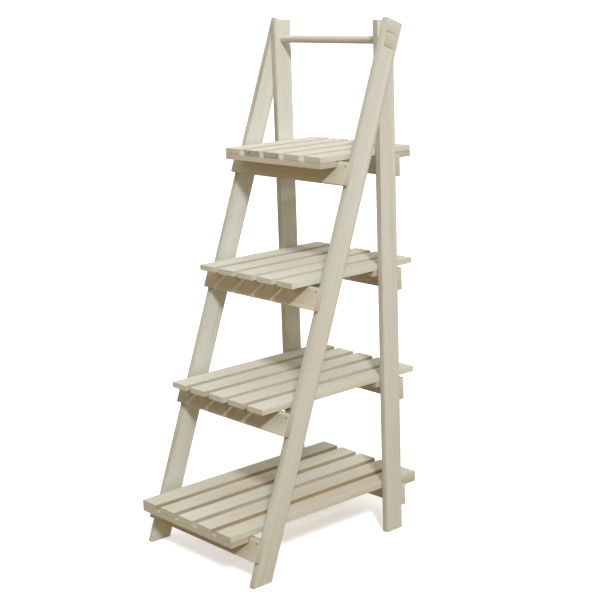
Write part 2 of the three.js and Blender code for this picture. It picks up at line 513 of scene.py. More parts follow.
@dataclass(frozen=True)
class DullSteel:
    """Bright drawn steel of nails and brads, dulled, with a little brown in the hollows."""

    name: str
    bright: Colour = (0.42, 0.40, 0.37)
    dull: Colour = (0.20, 0.175, 0.15)
    rust: Colour = (0.16, 0.085, 0.045)
    roughness: float = 0.40

    def material(self) -> bpy.types.Material:
        """Builds the material.

        Returns:
            The finished material.
        """
        made = bpy.data.materials.new(self.name)
        made.use_nodes = True
        made.node_tree.nodes.clear()
        bench = Bench(made.node_tree)
        spot = bench.signal("ShaderNodeTexCoord", None, None, "Object")
        blotch = bench.noise(spot, (900.0, 900.0, 900.0), 3.0, 0.6)
        scratch = bench.noise(spot, (2600.0, 700.0, 4200.0), 2.0)
        colour = bench.mix(bench.ease(blotch, -0.16, 0.20), self.bright, self.dull)
        colour = bench.mix(bench.ease(blotch + scratch * 0.3, 0.10, 0.26) * 0.7, colour, self.rust)
        sockets = {"Strength": 0.35, "Distance": 0.06 * MM, "Height": blotch * 0.6 + scratch}
        normal = bench.signal("ShaderNodeBump", None, sockets)
        sockets = {
            "Base Color": colour,
            "Metallic": 1.0 - bench.ease(blotch, 0.08, 0.26) * 0.75,
            "Roughness": self.roughness + blotch * 0.35 + scratch * 0.12,
            "Normal": normal,
        }
        shader = bench.node("ShaderNodeBsdfPrincipled", None, sockets)
        bench.node("ShaderNodeOutputMaterial", None, {"Surface": Signal(bench, shader.outputs[0])})
        return made


class Finishes:
    """One material for each finish slot."""

    def __init__(self) -> None:
        """Makes the materials."""
        kinds: dict[Slot, WashedSoftwood | DullSteel] = {
            Slot.LEG: WashedSoftwood(
                "washed_leg_wood",
                ring_pitch=4.6 * MM,
                blush=(0.670, 0.620, 0.540),
                # The legs' narrow front and back faces are drawn darker, as painted shade for the
                # edges that look to the front.
                sawn_side_and_shade=(0.79, 0.79, 0.73),
                side_bare=0.45,
                ring_strength=0.28,
                streak_strength=0.30,
                depth=(0.985, 1.040, 1.100),
            ),
            # The rails are drawn darker overall: the wood's own colour together with painted shade on
            # their front-facing faces.
            Slot.RAIL: WashedSoftwood(
                "washed_rail_wood", cut_end_and_shade=(1.03, 1.10, 1.15), depth=(0.855, 0.85, 0.805)
            ),
            Slot.SLAT: WashedSoftwood(
                "washed_slat_wood",
                ring_pitch=3.8 * MM,
                # The slats' cut ends, which look to the front and back, are drawn darker: darker end
                # grain together with painted shade.
                cut_end_and_shade=(0.80, 0.85, 0.86),
                sawn_side_and_shade=(1.0, 1.05, 1.07),
                side_bare=0.15,
                depth=(0.985, 0.995, 1.0),
            ),
            # The battens are drawn darker overall: the wood's own colour together with painted shade
            # on the front batten's face.
            Slot.BATTEN: WashedSoftwood(
                "washed_batten_wood", ring_pitch=5.0 * MM, depth=(0.865, 0.87, 0.86)
            ),
            Slot.BLOCK: WashedSoftwood(
                "washed_block_wood",
                ring_pitch=2.9 * MM,
                wash_cover=0.34,
                knot_share=0.0,
                blush=(0.660, 0.610, 0.520),
                depth=(0.99, 1.035, 1.05),
            ),
            Slot.DOWEL: WashedSoftwood(
                "washed_bar_wood",
                ring_pitch=2.4 * MM,
                saw_marks=0.0,
                knot_share=0.0,
                depth=(0.87, 0.89, 0.895),
            ),
            Slot.STEEL: DullSteel("dull_nail_steel"),
        }
        self.materials = {slot: kind.material() for slot, kind in kinds.items()}

    def __getitem__(self, slot: Slot) -> bpy.types.Material:
        """The material of one slot."""
        return self.materials[slot]


# ---------------------------------------------------------------- pieces


@dataclass
class Piece:
    """One finished piece, the body it rides on and the CAD nodes that it stands for."""

    obj: bpy.types.Object
    body: str
    slot: Slot
    stands_for: list[str] = field(default_factory=list)

    def dress(self, finishes: Finishes) -> None:
        """Gives the piece its finish and hands it to the frame.

        Args:
            finishes: The materials.
        """
        if not self.obj.data.materials:
            self.obj.data.materials.append(finishes[self.slot])
        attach(self.obj, self.body)
        if self.stands_for:
            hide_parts(*self.stands_for)
        LOG.info("%s rides on %s, %d faces", self.obj.name, self.body, len(self.obj.data.polygons))


def new_object(name: str, mesh: bpy.types.Mesh) -> bpy.types.Object:
    """Puts a mesh into the scene.

    Args:
        name: The piece's name.
        mesh: Its mesh.

    Returns:
        The new object, at the origin.
    """
    made = bpy.data.objects.new(name, mesh)
    bpy.context.scene.collection.objects.link(made)
    return made


def soften(obj: bpy.types.Object, width: float, weighted: bool = False) -> None:
    """Rounds the sharp edges of a board with a live bevel.

    Args:
        obj: The board.
        width: The width of the rounding.
        weighted: Whether only the edges with a bevel weight are rounded.
    """
    for polygon in obj.data.polygons:
        polygon.use_smooth = True
    bevel = obj.modifiers.new("eased edges", "BEVEL")
    bevel.width = width
    bevel.segments = 2
    bevel.limit_method = "WEIGHT" if weighted else "ANGLE"
    bevel.angle_limit = math.radians(40.0)
    bevel.harden_normals = True


# ---------------------------------------------------------------- sawn boards


@dataclass
class SawnBoard:
    """A board with its joints cut: the outline and bores of a CAD node, with eased edges."""

    node: str
    along: Vector
    across: Vector
    slot: Slot
    edge: float = 0.8 * MM
    tone: float | None = None
    shortest_edge: float = 6.0 * MM
    sharp_turn: float = math.radians(35.0)

    def build(self, rng: random.Random) -> bpy.types.Object:
        """Makes the board's mesh.

        Args:
            rng: Where its place in the tree is drawn from.

        Returns:
            The board.
        """
        work = bmesh.new()
        work.from_mesh(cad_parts[self.node].data)
        bmesh.ops.remove_doubles(work, verts=work.verts, dist=1e-6)
        bmesh.ops.dissolve_limit(
            work, angle_limit=math.radians(0.5), verts=work.verts, edges=work.edges
        )
        self._mark_edges(work)
        self._mark_ends(work)
        mesh = bpy.data.meshes.new(self.node)
        work.to_mesh(mesh)
        work.free()
        self._mark_points(mesh, rng)
        made = new_object(self.node + "_board", mesh)
        soften(made, self.edge, weighted=True)
        return made

    def _mark_edges(self, work: bmesh.types.BMesh) -> None:
        """Weights the long outer edges for easing, and keeps the small cut edges sharp.

        Args:
            work: The board's mesh.
        """
        weight = work.edges.layers.float.new("bevel_weight_edge")
        for edge in work.edges:
            if len(edge.link_faces) != 2 or edge.calc_face_angle(0.0) < self.sharp_turn:
                continue
            if edge.is_convex and edge.calc_length() > self.shortest_edge:
                edge[weight] = 1.0
            else:
                edge.smooth = False

    def _mark_ends(self, work: bmesh.types.BMesh) -> None:
        """Marks the faces that cut across the grain.

        Args:
            work: The board's mesh.
        """
        layer = work.faces.layers.float.new(Mark.END.value)
        for face in work.faces:
            face.normal_update()
            face[layer] = 1.0 if abs(face.normal.dot(self.along)) > LOOKS_ALONG else 0.0

    def _mark_points(self, mesh: bpy.types.Mesh, rng: random.Random) -> None:
        """Writes where each point is on the board, and the board's own place in the tree.

        Args:
            mesh: The board's mesh.
            rng: Where its place in the tree is drawn from.
        """
        axes = Matrix((self.along, self.across, self.along.cross(self.across)))
        turned = [axes @ vertex.co for vertex in mesh.vertices]
        low = Vector(min(point[i] for point in turned) for i in range(3))
        high = Vector(max(point[i] for point in turned) for i in range(3))
        middle, half = (low + high) / 2, (high - low) / 2
        shift = tree_place(rng)
        drawn = rng.random()
        tone = drawn if self.tone is None else self.tone
        write_vectors(mesh, Mark.PLACE, [point - middle for point in turned])
        write_vectors(mesh, Mark.HALF, [half] * len(turned))
        write_vectors(mesh, Mark.SHIFT, [shift] * len(turned))
        write_numbers(mesh, Mark.TONE, [tone] * len(turned))


def tree_place(rng: random.Random) -> Vector:
    """Draws where in its tree a board was sawn.

    Args:
        rng: The source of chance.

    Returns:
        An offset along the trunk, and two away from the pith.
    """
    around = rng.uniform(0.0, 2.0 * math.pi)
    away = rng.uniform(*PITH_REACH)
    trunk = rng.uniform(*TRUNK_REACH)
    return Vector((trunk, away * math.cos(around), away * math.sin(around)))


def write_vectors(mesh: bpy.types.Mesh, mark: Mark, values: Sequence[Vector]) -> None:
    """Writes one vector for each point of a mesh.

    Args:
        mesh: The mesh.
        mark: The attribute.
        values: The vectors, in the order of the points.
    """
    layer = mesh.attributes.new(mark.value, "FLOAT_VECTOR", "POINT")
    layer.data.foreach_set("vector", [part for value in values for part in value])


def write_numbers(mesh: bpy.types.Mesh, mark: Mark, values: Sequence[float]) -> None:
    """Writes one number for each point of a mesh.

    Args:
        mesh: The mesh.
        mark: The attribute.
        values: The numbers, in the order of the points.
    """
    mesh.attributes.new(mark.value, "FLOAT", "POINT").data.foreach_set("value", list(values))


# ---------------------------------------------------------------- rows of boards


class BoardRow:
    """A row of like boards, made by geometry nodes with a little difference from one to the next."""

    INPUTS = (
        ("Count", "NodeSocketInt"),
        ("Length", "NodeSocketFloat"),
        ("Width", "NodeSocketFloat"),
        ("Thickness", "NodeSocketFloat"),
        ("First Middle", "NodeSocketVector"),
        ("Step", "NodeSocketVector"),
        ("Turn", "NodeSocketFloat"),
        ("Length Play", "NodeSocketFloat"),
        ("Bow", "NodeSocketFloat"),
        ("Darkest Tone", "NodeSocketFloat"),
        ("Lightest Tone", "NodeSocketFloat"),
        ("Bare And Shaded Gaps", "NodeSocketFloat"),
        ("First Stained", "NodeSocketInt"),
        ("Last Stained", "NodeSocketInt"),
        ("Seed", "NodeSocketInt"),
        ("Finish", "NodeSocketMaterial"),
    )
    ALONG_POINTS = 25
    LARGEST_SKEW = 0.0012  # radians that a board may lie out of line

    def __init__(self) -> None:
        """Builds the tree, once for all rows."""
        self.tree = bpy.data.node_groups.new("board row", "GeometryNodeTree")
        self.keys = declare(self.tree, self.INPUTS)
        bench = Bench(self.tree)
        given = bench.node("NodeGroupInput")
        self.given = {name: Signal(bench, given.outputs[name]) for name, _ in self.INPUTS}
        boards = self._place(bench, self._board(bench))
        boards = self._warp(bench, self._bare(bench, boards))
        finished = bench.signal(
            "GeometryNodeSetMaterial", None, {"Geometry": boards, "Material": self.given["Finish"]}
        )
        bench.node("NodeGroupOutput", None, {0: finished})

    def _board(self, bench: Bench) -> Signal:
        """Makes one board along X about its own middle, with its marks.

        Args:
            bench: The bench of the tree.

        Returns:
            The board.
        """
        get = self.given
        size = bench.combine(get["Length"], get["Width"], get["Thickness"])
        sockets = {
            "Size": size,
            "Vertices X": self.ALONG_POINTS,
            "Vertices Y": 5,
            "Vertices Z": 2,
        }
        mesh = bench.signal("GeometryNodeMeshCube", None, sockets)
        spot = bench.signal("GeometryNodeInputPosition")
        mesh = store(bench, mesh, Mark.PLACE, spot)
        mesh = store(bench, mesh, Mark.HALF, bench.vector("SCALE", size, (0, 0, 0), (0, 0, 0), 0.5))
        facing = bench.split(bench.signal("GeometryNodeInputNormal"))[0]
        across = bench.maths("GREATER_THAN", abs(facing), LOOKS_ALONG)
        return store(bench, mesh, Mark.END, across, domain="FACE", number=True)

    def _place(self, bench: Bench, board: Signal) -> Signal:
        """Copies the board along the row, each copy from its own place in a tree.

        Args:
            bench: The bench of the tree.
            board: One board.

        Returns:
            The row of boards.
        """
        get = self.given
        seed = get["Seed"]
        sockets = {"Count": get["Count"], "Start Location": get["First Middle"], "Offset": get["Step"]}
        spots = bench.signal("GeometryNodeMeshLine", {"mode": "OFFSET"}, sockets)
        skew = chance(bench, seed, 1, -self.LARGEST_SKEW, self.LARGEST_SKEW)
        turn = bench.combine(0.0, 0.0, get["Turn"] + skew)
        stretch = 1.0 + chance(bench, seed, 2, -1.0, 1.0) * get["Length Play"]
        sockets = {
            "Points": spots,
            "Instance": board,
            "Rotation": bench.signal("FunctionNodeEulerToRotation", None, {0: turn}),
            "Scale": bench.combine(stretch, 1.0, 1.0),
        }
        row = bench.signal("GeometryNodeInstanceOnPoints", None, sockets)
        around = chance(bench, seed, 3, 0.0, 2.0 * math.pi)
        away = chance(bench, seed, 4, *PITH_REACH)
        shift = bench.combine(
            chance(bench, seed, 5, *TRUNK_REACH),
            away * bench.maths("COSINE", around),
            away * bench.maths("SINE", around),
        )
        row = store(bench, row, Mark.SHIFT, shift, domain="INSTANCE")
        tone = chance(bench, seed, 6, get["Darkest Tone"], get["Lightest Tone"])
        row = store(bench, row, Mark.TONE, tone, "INSTANCE", True)
        index = bench.signal("GeometryNodeInputIndex")
        rank = index / (get["Count"] - 1.0) * 2.0 - 1.0
        row = store(bench, row, Mark.RANK, rank, "INSTANCE", True)
        after = bench.maths("GREATER_THAN", index, get["First Stained"] - 0.5)
        before = bench.maths("LESS_THAN", index, get["Last Stained"] + 0.5)
        row = store(bench, row, Mark.STAIN, after * before, "INSTANCE", True)
        return bench.signal("GeometryNodeRealizeInstances", None, {0: row})

    def _bare(self, bench: Bench, boards: Signal) -> Signal:
        """Marks the sides that face a gap between two boards, which the wash doesn't reach and where
        shade falls; the finish paints them darker as unwashed wood and painted shade.

        Args:
            bench: The bench of the tree.
            boards: The row of boards.

        Returns:
            The row with its gap sides marked.
        """
        normal = bench.signal("GeometryNodeInputNormal")
        way = bench.vector("NORMALIZE", self.given["Step"])
        facing = bench.vector("DOT_PRODUCT", normal, way, output=1)
        side = bench.maths("GREATER_THAN", abs(facing), LOOKS_ALONG)
        outward = facing * named(bench, Mark.RANK, number=True)
        outermost = bench.maths("GREATER_THAN", outward, LOOKS_ALONG)
        bare_and_gap_shade = side * (1.0 - outermost) * self.given["Bare And Shaded Gaps"]
        boards = store(bench, boards, Mark.BARE_AND_GAP_SHADE, bare_and_gap_shade, domain="FACE", number=True)
        sockets = {"Geometry": boards, "Name": Mark.RANK.value}
        return bench.signal("GeometryNodeRemoveAttribute", None, sockets)

    def _warp(self, bench: Bench, boards: Signal) -> Signal:
        """Gives each board a slight bow along it and a cup across it.

        Args:
            bench: The bench of the tree.
            boards: The row of boards.

        Returns:
            The warped row.
        """
        place = named(bench, Mark.PLACE, number=False)
        half = named(bench, Mark.HALF, number=False)
        darkest, lightest = self.given["Darkest Tone"], self.given["Lightest Tone"]
        luck = (named(bench, Mark.TONE, number=True) - darkest) / (lightest - darkest)
        share = bench.vector("DIVIDE", place, half)
        along, across, _ = bench.split(share)
        rise = (along * along - 0.4) * (luck - 0.5) * 2.0 + (across * across - 0.4) * (0.5 - luck)
        offset = bench.combine(0.0, 0.0, rise * self.given["Bow"])
        sockets = {"Geometry": boards, "Offset": offset}
        return bench.signal("GeometryNodeSetPosition", None, sockets)

    def make(self, name: str, values: Mapping[str, Value], edge: float) -> bpy.types.Object:
        """Makes one row as a plain mesh.

        Args:
            name: The piece's name.
            values: The tree's inputs by name.
            edge: The width of the eased edges.

        Returns:
            The row of boards.
        """
        made = grow(name, bpy.data.meshes.new(name), self.tree, self.keys, values)
        soften(made, edge)
        return made


def declare(
    tree: bpy.types.NodeTree, inputs: Sequence[tuple[str, str]], takes_mesh: bool = False
) -> dict[str, str]:
    """Gives a geometry tree its named inputs and its output.

    Args:
        tree: The tree.
        inputs: The name and socket type of each input.
        takes_mesh: Whether it also takes the object's own mesh.

    Returns:
        Each input's identifier, by its name.
    """
    if takes_mesh:
        tree.interface.new_socket("Geometry", in_out="INPUT", socket_type="NodeSocketGeometry")
    keys = {}
    for name, kind in inputs:
        socket = tree.interface.new_socket(name, in_out="INPUT", socket_type=kind)
        keys[name] = socket.identifier
    tree.interface.new_socket("Geometry", in_out="OUTPUT", socket_type="NodeSocketGeometry")
    return keys


def grow(
    name: str,
    mesh: bpy.types.Mesh,
    tree: bpy.types.NodeTree,
    keys: Mapping[str, str],
    values: Mapping[str, Value],
) -> bpy.types.Object:
    """Runs a geometry tree on an object and keeps only its result.

    Args:
        name: The piece's name.
        mesh: The mesh that the tree starts from.
        tree: The tree.
        keys: Each input's identifier, by its name.
        values: The inputs by name.

    Returns:
        The object, with a plain mesh and no modifier.
    """
    made = new_object(name, mesh)
    modifier = made.modifiers.new("grow", "NODES")
    modifier.node_group = tree
    for key, value in values.items():
        modifier[keys[key]] = value
    graph = bpy.context.evaluated_depsgraph_get()
    shaped = bpy.data.meshes.new_from_object(
        made.evaluated_get(graph), preserve_all_data_layers=True, depsgraph=graph
    )
    made.modifiers.clear()
    made.data = shaped
    return made


def store(
    bench: Bench,
    geometry: Signal,
    mark: Mark,
    value: Signal,
    domain: str = "POINT",
    number: bool = False,
) -> Signal:
    """Stores one mark on a geometry.

    Args:
        bench: The bench of the tree.
        geometry: The geometry.
        mark: The attribute.
        value: What is stored.
        domain: Where it is stored.
        number: Whether it is a single number and not a vector.

    Returns:
        The geometry with the mark.
    """
    settings = {"data_type": "FLOAT" if number else "FLOAT_VECTOR", "domain": domain}
    sockets = {"Geometry": geometry, "Name": mark.value, "Value": value}
    return bench.signal("GeometryNodeStoreNamedAttribute", settings, sockets)


def named(bench: Bench, mark: Mark, number: bool) -> Signal:
    """Reads a stored mark back.

    Args:
        bench: The bench of the tree.
        mark: The attribute.
        number: Whether it is a single number and not a vector.

    Returns:
        Its value.
    """
    settings = {"data_type": "FLOAT" if number else "FLOAT_VECTOR"}
    return bench.signal("GeometryNodeInputNamedAttribute", settings, {"Name": mark.value})


def chance(bench: Bench, seed: Signal, stream: int, low: Value, high: Value) -> Signal:
    """Draws a number for each copy.

    Args:
        bench: The bench of the tree.
        seed: The row's own seed.
        stream: A number that keeps one draw apart from the next.
        low: The least value.
        high: The greatest value.

    Returns:
        The drawn number.
    """
    made = bench.node("FunctionNodeRandomValue", {"data_type": "FLOAT"})
    bench.plug(made.inputs[2], low)
    bench.plug(made.inputs[3], high)
    bench.plug(made.inputs["Seed"], seed * 37 + stream)
    return Signal(bench, made.outputs[1])


# ---------------------------------------------------------------- brads


class BradField:
    """Pairs of brads along a batten, one pair under each slat, made by geometry nodes."""

    INPUTS = (
        ("Crossings", "NodeSocketInt"),
        ("First Crossing", "NodeSocketVector"),
        ("Crossing Step", "NodeSocketVector"),
        ("Rows", "NodeSocketInt"),
        ("Row Step", "NodeSocketVector"),
        ("Pair Spread", "NodeSocketVector"),
        ("Wander", "NodeSocketFloat"),
        ("Seed", "NodeSocketInt"),
        ("Finish", "NodeSocketMaterial"),
    )

    def __init__(self) -> None:
        """Builds the tree, once for all shelves."""
        self.tree = bpy.data.node_groups.new("brad field", "GeometryNodeTree")
        self.keys = declare(self.tree, self.INPUTS, takes_mesh=True)
        bench = Bench(self.tree)
        given = bench.node("NodeGroupInput")
        get = {name: Signal(bench, given.outputs[name]) for name, _ in self.INPUTS}
        pair = bench.signal(
            "GeometryNodeMeshLine",
            {"mode": "OFFSET"},
            {
                "Count": 2,
                "Start Location": bench.vector("MULTIPLY", get["Pair Spread"], (-0.5, -0.5, -0.5)),
                "Offset": get["Pair Spread"],
            },
        )
        row = bench.signal(
            "GeometryNodeMeshLine",
            {"mode": "OFFSET"},
            {"Count": get["Rows"], "Start Location": (0.0, 0.0, 0.0), "Offset": get["Row Step"]},
        )
        line = bench.signal(
            "GeometryNodeMeshLine",
            {"mode": "OFFSET"},
            {
                "Count": get["Crossings"],
                "Start Location": get["First Crossing"],
                "Offset": get["Crossing Step"],
            },
        )
        spots = self._spread(bench, line, self._spread(bench, row, pair))
        jitter = bench.combine(
            chance(bench, get["Seed"], 1, -1.0, 1.0) * get["Wander"],
            chance(bench, get["Seed"], 2, -1.0, 1.0) * get["Wander"],
            0.0,
        )
        spots = bench.signal("GeometryNodeSetPosition", None, {"Geometry": spots, "Offset": jitter})
        turn = bench.combine(0.0, 0.0, chance(bench, get["Seed"], 3, 0.0, 6.0))
        sockets = {
            "Points": spots,
            "Instance": Signal(bench, given.outputs["Geometry"]),
            "Rotation": bench.signal("FunctionNodeEulerToRotation", None, {0: turn}),
        }
        brads = bench.signal("GeometryNodeInstanceOnPoints", None, sockets)
        brads = bench.signal("GeometryNodeRealizeInstances", None, {0: brads})
        sockets = {"Geometry": brads, "Material": get["Finish"]}
        brads = bench.signal("GeometryNodeSetMaterial", None, sockets)
        bench.node("NodeGroupOutput", None, {0: brads})

    def _spread(self, bench: Bench, points: Signal, instance: Signal) -> Signal:
        """Puts a copy of some points at each of other points, and makes them real.

        Args:
            bench: The bench of the tree.
            points: Where the copies go.
            instance: The points that are copied.

        Returns:
            All the copies.
        """
        sockets = {"Points": points, "Instance": instance}
        made = bench.signal("GeometryNodeInstanceOnPoints", None, sockets)
        return bench.signal("GeometryNodeRealizeInstances", None, {0: made})

    def make(self, name: str, values: Mapping[str, Value]) -> bpy.types.Object:
        """Makes one shelf's brads as a plain mesh.

        Args:
            name: The piece's name.
            values: The tree's inputs by name.

        Returns:
            The brads.
        """
        made = grow(name, BradShape().mesh(), self.tree, self.keys, values)
        for polygon in made.data.polygons:
            polygon.use_smooth = abs(polygon.normal.z) < 0.9
        return made


@dataclass(frozen=True)
class BradShape:
    """One brad seen from below: a low domed head on a short length of shank."""

    head: float = 2.6 * MM
    proud: float = 0.18 * MM
    shank: float = 1.4 * MM
    depth: float = 0.9 * MM
    sides: int = 12

    def mesh(self) -> bpy.types.Mesh:
        """Turns the brad's profile about its axis.

        Returns:
            A closed mesh whose head faces down, with the batten's face at height 0.
        """
        rings = (
            (self.shank / 2, self.depth),
            (self.shank / 2, 0.35 * MM),
            (self.head / 2, 0.12 * MM),
            (self.head / 2, -self.proud * 0.45),
            (self.head / 2 * 0.62, -self.proud),
        )
        return turned_mesh("brad", rings, self.sides)


def turned_mesh(
    name: str, rings: Sequence[tuple[float, float]], sides: int
) -> bpy.types.Mesh:
    """Turns a profile about Z and closes both ends.

    Args:
        name: The mesh's name.
        rings: The radius and height of each ring.
        sides: How many sides it has.

    Returns:
        The closed mesh, with its faces outwards.
    """
    work = bmesh.new()
    loops = [
        [
            work.verts.new(
                (
                    radius * math.cos(2 * math.pi * i / sides),
                    radius * math.sin(2 * math.pi * i / sides),
                    height,
                )
            )
            for i in range(sides)
        ]
        for radius, height in rings
    ]
    for lower, upper in zip(loops, loops[1:]):
        for i in range(sides):
            j = (i + 1) % sides
            work.faces.new((lower[i], lower[j], upper[j], upper[i]))
    work.faces.new(loops[0])
    work.faces.new(loops[-1])
    bmesh.ops.recalc_face_normals(work, faces=work.faces)
    mesh = bpy.data.meshes.new(name)
    work.to_mesh(mesh)
    work.free()
    return mesh


# ---------------------------------------------------------------- sub-assemblies


def leaning(upper: str, lower: str) -> Vector:
    """The direction of a frame's legs, from one rail up to another.

    Args:
        upper: The upper rail's node.
        lower: The lower rail's node.

    Returns:
        A unit vector that points up the legs.
    """
    middles = [sum(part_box(node), Vector()) / 2 for node in (lower, upper)]
    way = middles[1] - middles[0]
    way.x = 0.0
    return way.normalized()


@dataclass
class LegFrame:
    """One pair of legs with the rails that are nailed across them."""

    side: str
    body: str
    rails: int = 4
    leg_edge: float = 0.6 * MM
    rail_edge: float = 0.5 * MM
    rail_tones: tuple[float, float, float, float] = (0.3, 0.3, 0.3, 0.3)
    leg_tones: tuple[float, float] = (0.55, 0.55)
    seed: int = 11
    pieces: list[Piece] = field(default_factory=list)

    def build(self) -> None:
        """Makes the legs and the rails."""
        rng = random.Random(self.seed)
        up = leaning(f"{self.side}_rail_1", f"{self.side}_rail_{self.rails}")
        sideways = Vector((1.0, 0.0, 0.0))
        forward = up.cross(sideways)
        for hand, tone in zip(("left", "right"), self.leg_tones):
            node = f"{self.side}_leg_{hand}"
            board = SawnBoard(node, up, forward, Slot.LEG, self.leg_edge, tone)
            self.pieces.append(Piece(board.build(rng), self.body, Slot.LEG, [node]))
        for number in range(1, self.rails + 1):
            node = f"{self.side}_rail_{number}"
            tone = self.rail_tones[number - 1]
            board = SawnBoard(node, sideways, up, Slot.RAIL, self.rail_edge, tone)
            self.pieces.append(Piece(board.build(rng), self.body, Slot.RAIL, [node]))

    def dress(self, finishes: Finishes) -> None:
        """Dresses the boards, and gives the rail nails their steel.

        Args:
            finishes: The materials.
        """
        for piece in self.pieces:
            piece.dress(finishes)
        for name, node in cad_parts.items():
            if name.startswith(f"{self.side}_rail_") and "_nail_" in name:
                for place in node.material_slots:
                    place.material = finishes[Slot.STEEL]
                LOG.info("%s is a nail of dull steel", name)


@dataclass
class TopBar:
    """The round bar between the frames' heads, with the square block at each of its ends."""

    body: str
    bar_node: str = "top_dowel"
    sides: int = 48
    rings: int = 60
    end_chamfer: float = 0.8 * MM
    out_of_round: float = 0.06 * MM
    block_edge: float = 0.5 * MM
    seed: int = 5
    pieces: list[Piece] = field(default_factory=list)

    def build(self) -> None:
        """Makes the bar and its two blocks."""
        rng = random.Random(self.seed)
        self.pieces.append(Piece(self._bar(rng), self.body, Slot.DOWEL, [self.bar_node]))
        up = leaning("front_rail_1", "front_rail_4")
        forward = up.cross(Vector((1.0, 0.0, 0.0)))
        for hand in ("left", "right"):
            node = f"pivot_block_{hand}"
            board = SawnBoard(node, forward, up, Slot.BLOCK, self.block_edge)
            self.pieces.append(Piece(board.build(rng), self.body, Slot.BLOCK, [node]))

    def _bar(self, rng: random.Random) -> bpy.types.Object:
        """Makes a planed round bar with chamfered ends, very slightly out of round.

        Args:
            rng: Where its place in the tree and its tone are drawn from.

        Returns:
            The bar.
        """
        low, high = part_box(self.bar_node)
        middle = (low + high) / 2
        length, radius = high.x - low.x, (high.z - low.z) / 2
        chamfer = self.end_chamfer
        steps = [(radius - chamfer, -length / 2)]
        for i in range(self.rings + 1):
            share = i / self.rings
            swell = self.out_of_round * 0.5 * math.sin(9.0 * share + 1.3)
            along = (share - 0.5) * (length - 2 * chamfer)
            steps.append((radius - self.out_of_round + swell, along))
        steps.append((radius - chamfer, length / 2))
        mesh = turned_mesh("bar", steps, self.sides)
        place = [Vector((v.co.z, v.co.x, v.co.y)) for v in mesh.vertices]
        for vertex, spot in zip(mesh.vertices, place):
            vertex.co = middle + Vector((spot.x, spot.y, spot.z))
        half = Vector((length / 2, radius, radius))
        write_vectors(mesh, Mark.PLACE, place)
        write_vectors(mesh, Mark.HALF, [half] * len(place))
        write_vectors(mesh, Mark.SHIFT, [tree_place(rng)] * len(place))
        write_numbers(mesh, Mark.TONE, [rng.random()] * len(place))
        ends = mesh.attributes.new(Mark.END.value, "FLOAT", "FACE")
        for polygon in mesh.polygons:
            ends.data[polygon.index].value = float(abs(polygon.normal.x) > 0.9)
            polygon.use_smooth = abs(polygon.normal.x) < 0.5
        return new_object("top_bar", mesh)

    def dress(self, finishes: Finishes) -> None:
        """Dresses the bar and its blocks.

        Args:
            finishes: The materials.
        """
        for piece in self.pieces:
            piece.dress(finishes)


